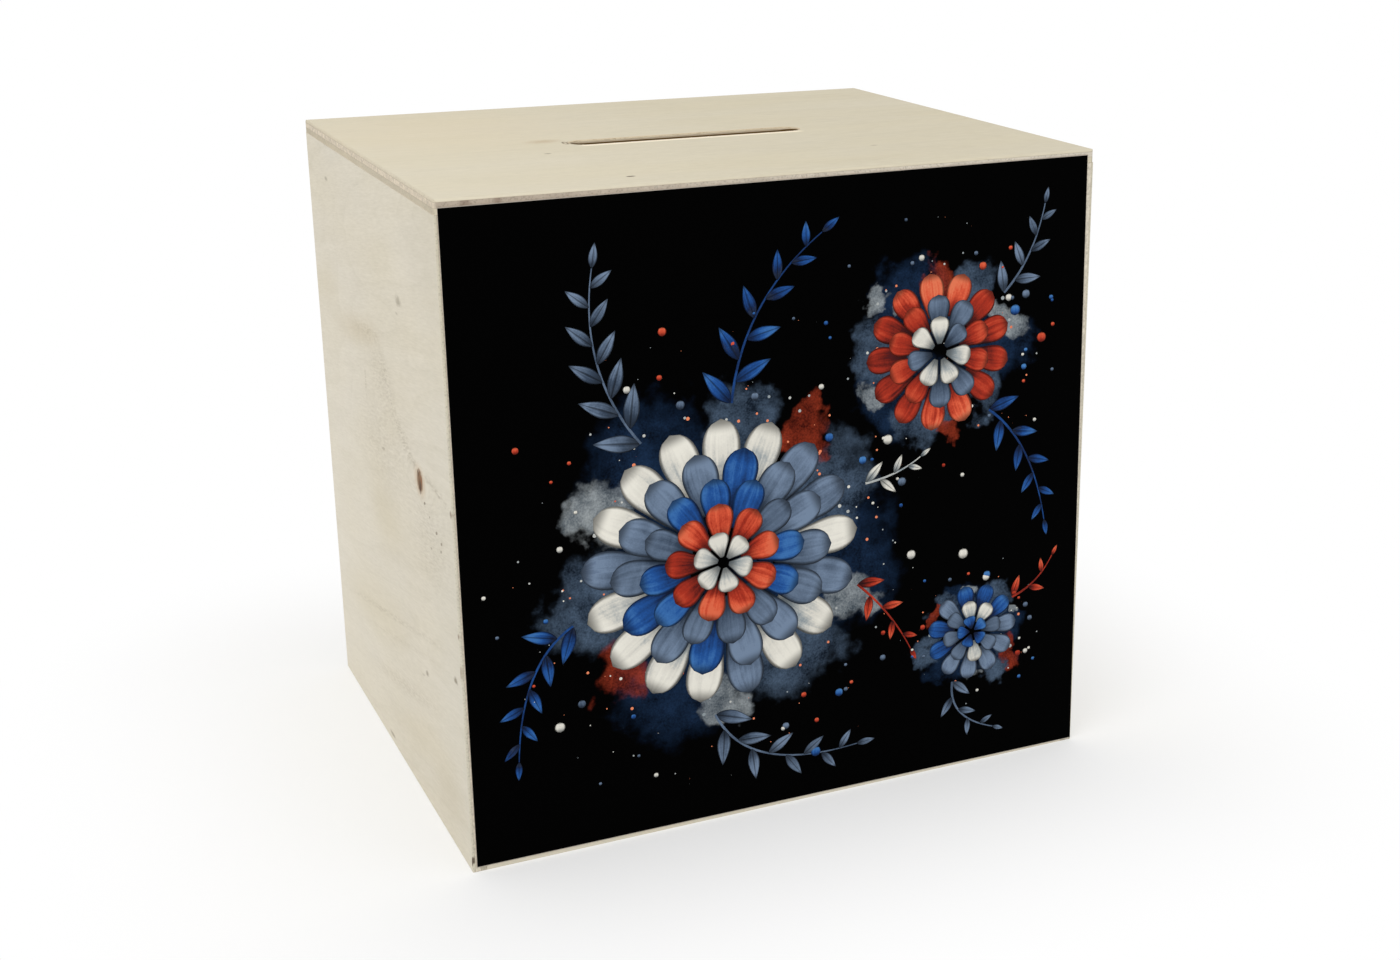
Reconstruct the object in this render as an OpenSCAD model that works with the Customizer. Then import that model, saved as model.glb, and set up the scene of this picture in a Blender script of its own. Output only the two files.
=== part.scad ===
// Wooden money box: six thin plywood boards glued edge to edge, a coin slot routed through the top,
// a printed film on the front and a push-in plastic stopper that closes the coin outlet in the base.
// Millimetres. +Z is up, -Y is the printed front, and the origin is the middle of the footprint.

/* [Box] */
// Outside width, left to right
box_w = 120; // [90:1:180]
// Outside depth, front to back
box_d = 97; // [80:1:150]
// Outside height
box_h = 116; // [70:1:180]
// Thickness of the plywood, sanded
ply_t = 2.4; // [2:0.1:4]
// Radius sanded on the outer edges of the top board
top_arris_r = 0.4; // [0.2:0.1:0.8]
// Radius of the top board's four corners, seen from above
top_corner_r = 0.7; // [0.3:0.1:1.5]
// Radius sanded on the upright corners of the box
wall_arris_r = 0.3; // [0.2:0.1:0.6]
// Small bevel left by sanding along the glued seams and under the walls
seam_ease = 0.1; // [0.05:0.05:0.4]

/* [Coin slot] */
// Length of the slot over its round ends
slot_l = 45.4; // [34:0.2:60]
// Width of the slot, the diameter of the router bit
slot_w = 5.2; // [4.2:0.1:6]
// How far the slot sits behind the middle of the top, or in front of it if negative
slot_y = -2.5; // [-12:0.5:12]
// Bevel sanded round the mouth of the slot
slot_ease = 0.3; // [0.1:0.05:0.5]

/* [Base and stopper] */
// Height of the base board above the table
base_recess = 3; // [2.5:0.5:6]
// Diameter of the coin outlet in the base
outlet_d = 34; // [30:1:44]
// How far the stopper's flange reaches past the outlet
flange_lip = 3.5; // [2:0.5:6]
// Thickness of the stopper's flange
flange_t = 1.6; // [1.2:0.1:2]
// Height of the stopper's skirt above its flange
skirt_h = 8.5; // [6:0.5:14]
// Wall of the stopper's skirt
skirt_wall = 1.5; // [1:0.1:2.5]
// Running gap between skirt and outlet, on the radius
fit_gap = 0.06; // [0.03:0.01:0.1]
// Number of slits that let the skirt flex
slit_count = 6; // [3:1:8]
// Width of a slit
slit_w = 1.6; // [1:0.1:2.5]
// Radius of the fingernail scoop in the flange's rim
scoop_r = 5; // [3:0.5:7]

/* [Front film] */
// Thickness of the printed film
film_t = 0.15; // [0.1:0.05:0.3]
// The film is cut and laid by hand, so each corner has its own bare margins: sideways, then up or down
// Lower left corner of the film
film_low_left = [0.75, 0.9]; // [0.2:0.05:3]
// Lower right corner of the film
film_low_right = [0.25, 0.4]; // [0.2:0.05:3]
// Upper right corner of the film
film_high_right = [1.4, 0.9]; // [0.2:0.05:3]
// Upper left corner of the film
film_high_left = [0.55, 1.25]; // [0.2:0.05:3]

/* [Hidden] */
$fn = 96;
cut = 0.5;                              // how far a cutter runs past the face that it cuts
wood_tone = "#dbd2bd";
film_tone = "#0b0b0d";
stopper_tone = "#232326";

wall_h = box_h - ply_t;                 // the walls stop under the top board
inner_w = box_w - 2 * ply_t;            // the front and back boards stand between the side boards
inner_d = box_d - 2 * ply_t;
front_y = -box_d / 2;
slot_r = slot_w / 2;
slot_reach = slot_l / 2 - slot_r;       // from the middle of the slot to the centre of a round end
flange_r = outlet_d / 2 + flange_lip;
skirt_r = outlet_d / 2 - fit_gap;
lead_in = 0.7 * skirt_wall;             // taper on the skirt's free end
lead_rise = 2;                          // height of that taper
rim_bevel = 0.4;                        // bevel round the flange's rim
dish_depth = 0.5;                       // shallow dish in the flange's outer face
dish_r = skirt_r - skirt_wall - 1;
slit_root = ply_t + 0.5;                // the slits start just above the base board
scoop_depth = 0.65 * flange_lip;        // the scoop stays outside the outlet

// Outlines

// Rectangle from the origin to [w, h], with one radius for each corner, anticlockwise from the origin
module soft_rect(w, h, radii) {
    corners = [[0, 0, 0], [w, 0, 90], [w, h, 180], [0, h, 270]];
    difference() {
        square([w, h]);
        for (i = [0:3])
            if (radii[i] > 0)
                translate([corners[i][0], corners[i][1]])
                    rotate(corners[i][2])
                        difference() {
                            translate([-cut, -cut])
                                square(radii[i] + cut);
                            translate([radii[i], radii[i]])
                                circle(radii[i]);
                        }
    }
}

// Rectangle from the origin to [w, h], with one bevel for each corner, anticlockwise from the origin
module bevel_rect(w, h, bevels) {
    b = bevels;
    polygon([[b[0], 0], [w - b[1], 0], [w, b[1]], [w, h - b[2]],
             [w - b[2], h], [b[3], h], [0, h - b[3]], [0, b[0]]]);
}

// Turns an outline drawn on X and Y so that it stands on X and Z and runs back along Y
module along_y(length)
    translate([0, length, 0])
        rotate([90, 0, 0])
            linear_extrude(length)
                children();

// Turns an outline drawn on X and Y so that its X runs along Y, its Y stands along Z, and it runs along X
module along_x(length)
    rotate([90, 0, 90])
        linear_extrude(length)
            children();

// The coin slot

module slot_prism(r, z0, z1) {
    translate([-slot_reach, -r, z0])
        cube([2 * slot_reach, 2 * r, z1 - z0]);
    for (side = [-1, 1])
        translate([side * slot_reach, 0, z0])
            cylinder(r = r, h = z1 - z0);
}

// Flared mouth: straight flanks between two cones
module slot_mouth() {
    mouth_r = slot_r + slot_ease;
    translate([-slot_reach, 0, box_h - slot_ease])
        along_x(2 * slot_reach)
            polygon([[-slot_r, 0], [slot_r, 0], [mouth_r, slot_ease], [mouth_r, slot_ease + cut],
                     [-mouth_r, slot_ease + cut], [-mouth_r, slot_ease]]);
    for (side = [-1, 1])
        translate([side * slot_reach, 0, box_h - slot_ease]) {
            cylinder(r1 = slot_r, r2 = mouth_r, h = slot_ease);
            translate([0, 0, slot_ease])
                cylinder(r = mouth_r, h = cut);
        }
}

// The boards

// Lies over all four walls, with its outer edges sanded round and the slot routed through it
module top_board()
    color(wood_tone)
        difference() {
            intersection() {
                translate([-box_w / 2, -box_d / 2, wall_h])
                    linear_extrude(ply_t)
                        soft_rect(box_w, box_d, [for (i = [0:3]) top_corner_r]);
                translate([-box_w / 2, -box_d / 2, wall_h])
                    along_y(box_d)
                        soft_rect(box_w, ply_t, [0, 0, top_arris_r, top_arris_r]);
                translate([-box_w / 2, -box_d / 2, wall_h])
                    along_x(box_w)
                        soft_rect(box_d, ply_t, [0, 0, top_arris_r, top_arris_r]);
            }
            translate([0, slot_y, 0]) {
                slot_prism(slot_r, wall_h - cut, box_h + cut);
                slot_mouth();
            }
        }

// Side boards run the full depth and cover the ends of the front and back boards
module side_wall()
    color(wood_tone)
        translate([-box_w / 2, front_y, 0])
            intersection() {
                linear_extrude(wall_h)
                    soft_rect(ply_t, box_d, [wall_arris_r, 0, 0, wall_arris_r]);
                along_y(box_d)
                    bevel_rect(ply_t, wall_h, [seam_ease, 0, 0, seam_ease]);
                along_x(ply_t)
                    bevel_rect(box_d, wall_h, [for (i = [0:3]) seam_ease]);
            }

module left_board()
    side_wall();

module right_board()
    rotate(180)
        side_wall();

// Front and back boards stand between the side boards
module inset_wall()
    color(wood_tone)
        translate([-inner_w / 2, front_y, 0])
            intersection() {
                linear_extrude(wall_h)
                    bevel_rect(inner_w, ply_t, [seam_ease, seam_ease, 0, 0]);
                along_x(inner_w)
                    bevel_rect(ply_t, wall_h, [seam_ease, 0, 0, seam_ease]);
            }

module front_board()
    inset_wall();

module back_board()
    rotate(180)
        inset_wall();

// Sits inside the walls, clear of the table, with the coin outlet in its middle
module base_board()
    color(wood_tone)
        difference() {
            translate([-inner_w / 2, -inner_d / 2, base_recess])
                cube([inner_w, inner_d, ply_t]);
            translate([0, 0, base_recess - cut])
                cylinder(d = outlet_d, h = ply_t + 2 * cut);
            translate([0, 0, base_recess - cut])
                cylinder(d1 = outlet_d + 2 * (seam_ease + cut), d2 = outlet_d, h = seam_ease + cut);
        }

// Stopper: a soft plastic cup with a flange that seats under the base board

// Half section of the flange and skirt, with its zero height on the underside of the base board
module stopper_section()
    polygon([[0, -flange_t + dish_depth], [dish_r, -flange_t + dish_depth],
             [dish_r + dish_depth, -flange_t], [flange_r - rim_bevel, -flange_t],
             [flange_r, -flange_t + rim_bevel], [flange_r, 0],
             [skirt_r, 0], [skirt_r, skirt_h - lead_rise], [skirt_r - lead_in, skirt_h],
             [skirt_r - skirt_wall, skirt_h], [skirt_r - skirt_wall, 0], [0, 0]]);

module stopper()
    color(stopper_tone)
        translate([0, 0, base_recess])
            difference() {
                rotate_extrude()
                    stopper_section();
                for (i = [0:slit_count - 1])
                    rotate(i * 360 / slit_count)
                        translate([skirt_r - 2 * skirt_wall, -slit_w / 2, slit_root])
                            cube([3 * skirt_wall, slit_w, skirt_h]);
                translate([0, scoop_depth - flange_r - scoop_r, -flange_t - cut])
                    cylinder(r = scoop_r, h = flange_t + 2 * cut);
            }

// Film: printed self-adhesive sheet over the front, nearly from edge to edge, and half of the top board's edge
module front_film()
    color(film_tone)
        translate([-box_w / 2, front_y - film_t, 0])
            along_y(film_t)
                polygon([film_low_left,
                         [box_w - film_low_right[0], film_low_right[1]],
                         [box_w - film_high_right[0], box_h - film_high_right[1]],
                         [film_high_left[0], box_h - film_high_left[1]]]);

top_board();
front_board();
back_board();
left_board();
right_board();
base_board();
stopper();
front_film();
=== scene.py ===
import math
from functools import partial

import bpy
from mathutils import Matrix, Vector


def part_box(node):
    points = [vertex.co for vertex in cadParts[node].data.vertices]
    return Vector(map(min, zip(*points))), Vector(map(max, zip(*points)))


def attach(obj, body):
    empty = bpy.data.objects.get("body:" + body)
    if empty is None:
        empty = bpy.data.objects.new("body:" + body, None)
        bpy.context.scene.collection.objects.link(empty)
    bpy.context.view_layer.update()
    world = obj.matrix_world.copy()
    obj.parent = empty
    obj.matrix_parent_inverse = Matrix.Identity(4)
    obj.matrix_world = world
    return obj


mm = 0.001  # the scene is in metres, and most sizes below are in millimetres
hair = 0.001 * mm  # two places closer than this count as one
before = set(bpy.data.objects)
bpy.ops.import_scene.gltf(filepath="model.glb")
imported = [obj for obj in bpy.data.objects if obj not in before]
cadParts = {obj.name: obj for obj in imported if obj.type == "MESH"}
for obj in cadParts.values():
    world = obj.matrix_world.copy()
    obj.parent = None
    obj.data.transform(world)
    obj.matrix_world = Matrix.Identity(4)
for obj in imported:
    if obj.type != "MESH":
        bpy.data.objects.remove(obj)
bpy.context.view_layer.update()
scene = bpy.context.scene
print("frame loaded:", ", ".join(sorted(cadParts)))


# Small helpers

def linear(hexColour):
    # sRGB hex to the linear colour that Blender's sockets take
    shares = [int(hexColour[i:i + 2], 16) / 255 for i in (1, 3, 5)]
    return [s / 12.92 if s <= 0.04045 else ((s + 0.055) / 1.055) ** 2.4 for s in shares] + [1.0]


def feed(node, *values):
    # fills a node's live inputs in order, or by name from a dictionary. An output is linked, a hex colour
    # is made linear, and any other value is set as it is
    if values and isinstance(values[0], dict):
        pairs = [(node.inputs[name], value) for name, value in values[0].items()]
    else:
        pairs = zip([socket for socket in node.inputs if socket.enabled], values)
    for socket, value in pairs:
        if isinstance(value, bpy.types.NodeSocket):
            node.id_data.links.new(value, socket)
        elif isinstance(value, str) and value.startswith("#"):
            socket.default_value = linear(value)
        else:
            socket.default_value = value


# How a node's full type name can begin, and the setting that a second word in its kind gives
families = ("ShaderNode", "GeometryNode", "FunctionNode", "Node")
modes = {"Math": "operation", "VectorMath": "operation", "Compare": "operation", "Mix": "data_type",
         "MapRange": "interpolation_type", "TexNoise": "noise_dimensions", "Mapping": "vector_type"}


def addNode(tree, kind, *values, out=None, **settings):
    # adds a node, sets and feeds it, and gives its first live output or the one that out names
    kind, *mode = kind.split()
    made = tree.nodes.new(next(f + kind for f in families if hasattr(bpy.types, f + kind)))
    if mode:
        settings[modes[kind]] = mode[0]
    for name, value in settings.items():
        setattr(made, name, value)
    feed(made, *values)
    if out:
        return made.outputs[out]
    return next((socket for socket in made.outputs if socket.enabled), None)


def newMaterial(name):
    # a material, the function that adds a node to it, and its shader
    made = bpy.data.materials.new(name)
    made.use_nodes = True
    return made, partial(addNode, made.node_tree), made.node_tree.nodes["Principled BSDF"]


def addPatterns(add, total, patterns, weights):
    # adds patterns to a running total, each centred on zero and times its weight
    for name, weight in weights.items():
        centred = add("Math SUBTRACT", patterns[name], 0.5)
        total = add("Math MULTIPLY_ADD", centred, weight, total)
    return total


def setDetail(patterns, details):
    for name, detail in details.items():
        feed(patterns[name].node, {"Detail": detail})


def dress(node, material):
    slots = cadParts[node].data.materials
    slots.clear()
    slots.append(material)


# Camera, at the photograph's viewing angle

shot = {
    "place": (-134.1, -344.3, 170.0),  # mm
    "turn": 26.09,  # degrees to the right of straight ahead
    "tilt": 17.24,  # degrees down
    "roll": 0.17,
    "imageWidth": 1400,  # pixels
    "imageHeight": 960,
    "focal": 1962,  # pixels
    "centre": (846.3, 441.2),  # where the lens axis meets the picture, in pixels
    "sensor": 36.0,  # mm
    "clipStart": 10.0,  # mm
}


def setCamera():
    lens = bpy.data.cameras.new("camera")
    lens.sensor_width = shot["sensor"]
    lens.lens = shot["focal"] / shot["imageWidth"] * shot["sensor"]
    lens.shift_x = (shot["imageWidth"] / 2 - shot["centre"][0]) / shot["imageWidth"]
    lens.shift_y = (shot["centre"][1] - shot["imageHeight"] / 2) / shot["imageWidth"]
    lens.clip_start = shot["clipStart"] * mm
    camera = bpy.data.objects.new("camera", lens)
    aim = Matrix.Rotation(math.radians(-shot["turn"]), 4, "Z")
    aim @= Matrix.Rotation(math.radians(90 - shot["tilt"]), 4, "X")
    aim @= Matrix.Rotation(math.radians(shot["roll"]), 4, "Z")
    camera.matrix_world = Matrix.Translation(Vector(shot["place"]) * mm) @ aim
    scene.collection.objects.link(camera)
    scene.camera = camera
    print("camera set, lens", round(lens.lens, 2))


setCamera()


# Floor and light: an even white studio, so a colour renders about as it is written

studio = {  # sizes in metres
    "lamps": {  # place, width and power
        "key light": ((-0.55, -0.45, 0.85), 0.7, 2.9),
        "fill light": ((0.9, -0.9, 0.55), 1.0, 1.2),
    },
    "lampAim": (0.0, 0.0, 0.05),
    "white": "#ffffff",
    "skyStrength": 0.78,  # what the room sends onto the object
    "paper": "#fbfbfa",
    "paperRoughness": 0.9,
    "floorSize": 6.0,
    "floorLap": 0.00015,  # how far the paper reaches under the box's rim
    "shadeReach": (0.0, 0.07),  # from the box, where its shade starts to fade and ends
    "leastWhite": 0.35,  # how plain white the paper is right beside the box
}


def setLamp(name, place, size, power):
    lamp = bpy.data.lights.new(name, "AREA")
    lamp.shape = "DISK"
    lamp.size = size
    lamp.energy = power
    stand = bpy.data.objects.new(name, lamp)
    stand.location = place
    aim = Vector(studio["lampAim"]) - Vector(place)
    stand.rotation_euler = aim.to_track_quat("-Z", "Y").to_euler()
    scene.collection.objects.link(stand)


def seenRay(add):
    # one for the rays that show the background: straight to the camera, in gloss or through glass
    path = add("LightPath").node.outputs
    seen = path["Is Camera Ray"]
    for ray in ("Is Glossy Ray", "Is Transmission Ray"):
        seen = add("Math MAXIMUM", seen, path[ray])
    return seen


def setSky():
    sky = bpy.data.worlds.new("white room")
    sky.use_nodes = True
    add = partial(addNode, sky.node_tree)
    strength = add("MapRange", seenRay(add), 0.0, 1.0, studio["skyStrength"], 1.0)
    feed(sky.node_tree.nodes["Background"], {"Color": studio["white"], "Strength": strength})
    scene.world = sky


def studioPaper(footprint):
    # the paper keeps the box's shadow close by, and is plain white further out
    made, add, shader = newMaterial("matt white studio paper")
    past = add("VectorMath ABSOLUTE", add("TexCoord", out="Object"))
    past = add("VectorMath SUBTRACT", past, (*footprint, 0.0))
    past = add("VectorMath MAXIMUM", past, (0.0, 0.0, 0.0))
    past = add("VectorMath LENGTH", past)
    plain = add("MapRange SMOOTHSTEP", past, *studio["shadeReach"], studio["leastWhite"], 1.0)
    plain = add("Math MULTIPLY", plain, seenRay(add))
    glow = add("Emission", studio["white"], 1.0)
    both = add("MixShader", plain, shader.outputs[0], glow)
    feed(made.node_tree.nodes["Material Output"], {"Surface": both})
    feed(shader, {"Base Color": studio["paper"], "Roughness": studio["paperRoughness"],
                  "Specular IOR Level": 0.0})
    return made


def setFloor():
    # open under the box, up to the rim that it stands on, so that its underside shows from below
    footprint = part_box("right_board")[1].xy
    outside = Vector((studio["floorSize"] / 2, studio["floorSize"] / 2))
    inside = footprint - Vector((studio["floorLap"], studio["floorLap"]))
    corners = [(x * reach.x, y * reach.y, 0.0)
               for reach in (outside, inside) for x, y in ((-1, -1), (1, -1), (1, 1), (-1, 1))]
    mesh = bpy.data.meshes.new("floor")
    mesh.from_pydata(corners, [], [(i, (i + 1) % 4, (i + 1) % 4 + 4, i + 4) for i in range(4)])
    floor = bpy.data.objects.new("floor", mesh)
    scene.collection.objects.link(floor)
    mesh.materials.append(studioPaper(footprint))


for name, lamp in studio["lamps"].items():
    setLamp(name, *lamp)
setSky()
setFloor()
print("studio set")


# Plywood: three plies of pale rotary-cut poplar veneer, bare and sanded by hand.
# To the eye it is matt, creamy and almost plain, with faint streaks that part round a knot. An edge shows
# the plies: pale where a ply is cut along its grain, grey-brown with pores where it is cut across.
# Here and below, a ramp is four numbers: two readings of a pattern, and what is made of each.

wood = {
    "pale": "#e3ddcf",  # early wood
    "tan": "#c4bdab",  # late wood and fibre shadows
    "blush": "#fffefa",  # what the warmer patches multiply the colour by
    "endVeneer": "#c8c4b2",  # outer ply, cut across its grain
    "endInner": "#b6b19f",  # inner ply, cut across its grain
    "endSeam": "#c3b9a7",  # the inner ply's last fibres, crushed and rubbed with glue at the seam
    "sideCore": "#d1cbbc",  # middle ply, cut along its grain
    "endCore": "#bab3a7",  # middle ply, cut across its grain
    "glue": "#92826c",
    "glueCover": 0.45,
    "glueWidth": 0.07,  # mm
    "core": (0.45, 1.4),  # mm below the outer face where the middle ply starts and ends
    "seam": (2.2, 2.38),  # mm below the outer face where the inner ply starts to pale and is palest
    "weights": {"fibre": 0.8, "streak": 0.32, "cloud": 0.2},  # how far each pattern darkens the veneer
    "darkness": 0.3,  # of plain veneer, from pale to tan
    "growthLines": 9.0,  # in one swing of the figure
    "lineEnd": 3.0,  # how sharply a growth line ends
    "warmthRamp": (0.35, 0.65, 0.0, 1.0),
    "pore": 0.4,  # mm, dots in the end grain
    "poreRamp": (0.1, 0.5, 0.74, 1.07),  # brightness at a pore and away from it
    "patchRamp": (0.3, 0.7, 1.08, 0.9),  # brightness of patches in the end grain
    "threadRamp": (0.3, 0.7, 1.24, 0.78),  # brightness of fibres in an edge that is cut along the grain
    "knotBend": (9.0, 3.2),  # mm along and across the grain, how far off a knot still turns it aside
    "dashRamp": (0.4, 0.66, 0.0, 1.0),
    "raggedness": 0.9,  # how far the rim of a mark wanders, as a share of its size
    "markRim": (1.05, 1.15),  # share of its size where a hard mark starts to fade and where any mark ends
    "noiseRoughness": 0.55,
    "roughness": 0.74,
    "ior": 1.45,
    "specular": 0.25,
    "fibreRelief": 0.01,  # mm
}

# Patterns in the wood: size in mm along and across the grain, a number that sets each apart, and how finely
# it breaks up. The fibres are coarser than real ones, so that they show.
grainPatterns = {
    "fibre": (3.0, 0.32, 0.1, 3.0),
    "streak": (26.0, 1.7, 0.2, 2.0),
    "cloud": (42.0, 15.0, 0.3, 2.0),
    "figure": (80.0, 17.0, 0.4, 1.0),
    "curl": (5.0, 30.0, 0.5, 1.0),
    "ragged": (0.9, 0.5, 0.6, 3.0),  # how the rim of a mark wanders
    "warmth": (42.0, 15.0, 0.8, 2.0),
    "dash": (2.0, 0.45, 0.9, 3.0),  # the fibres that take up a stain
}
edgePatterns = {
    "thread": (0.5, 0.6, 0.6, 2.0),
    "patch": (6.0, 6.0, 0.7, 2.0),
}

# Each board: the axes along its outer plies' grain, across it and through the board, which end of the last
# one is outside, how strongly growth lines and cross ripples show, how far the grain climbs over its run,
# a number that sets its patterns apart, a tint, and a second tint for its cut edges
boardLooks = {
    "top_board": {"axes": "XYZ", "outer": 1, "figure": 0.07, "curl": 0.03, "climb": 0.02,
                  "seed": 1.0, "tint": "#f8f5eb", "cut": "#faf4f6"},
    "left_board": {"axes": "YZX", "outer": 0, "figure": 0.1, "curl": 0.1, "climb": 0.16,
                   "seed": 5.2, "tint": "#fefdfc", "cut": "#fffcf9"},
    "right_board": {"axes": "YZX", "outer": 1, "figure": 0.16, "curl": 0.06, "climb": -0.05,
                    "seed": 6.9, "tint": "#fdfcfb", "cut": "#fffdfb"},
    "front_board": {"axes": "XZY", "outer": 0, "figure": 0.1, "curl": 0.05, "climb": 0.0,
                    "seed": 2.3, "tint": "#fffdfa", "cut": "#fffefe"},
    "back_board": {"axes": "XZY", "outer": 1, "figure": 0.2, "curl": 0.06, "climb": 0.06,
                   "seed": 3.7, "tint": "#fdfbfa", "cut": "#fcf8f6"},
    "base_board": {"axes": "XYZ", "outer": 0, "figure": 0.2, "curl": 0.05, "climb": 0.03,
                   "seed": 8.1, "tint": "#f9f6f2", "cut": "#fcf8f6"},
}

# Knots that turn the grain aside: mm along the grain and across it
knots = {
    "left_board": [(-28.1, 64.4)],
    "back_board": [(22.0, 71.0)],
    "right_board": [(12.0, 38.0)],
}

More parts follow.
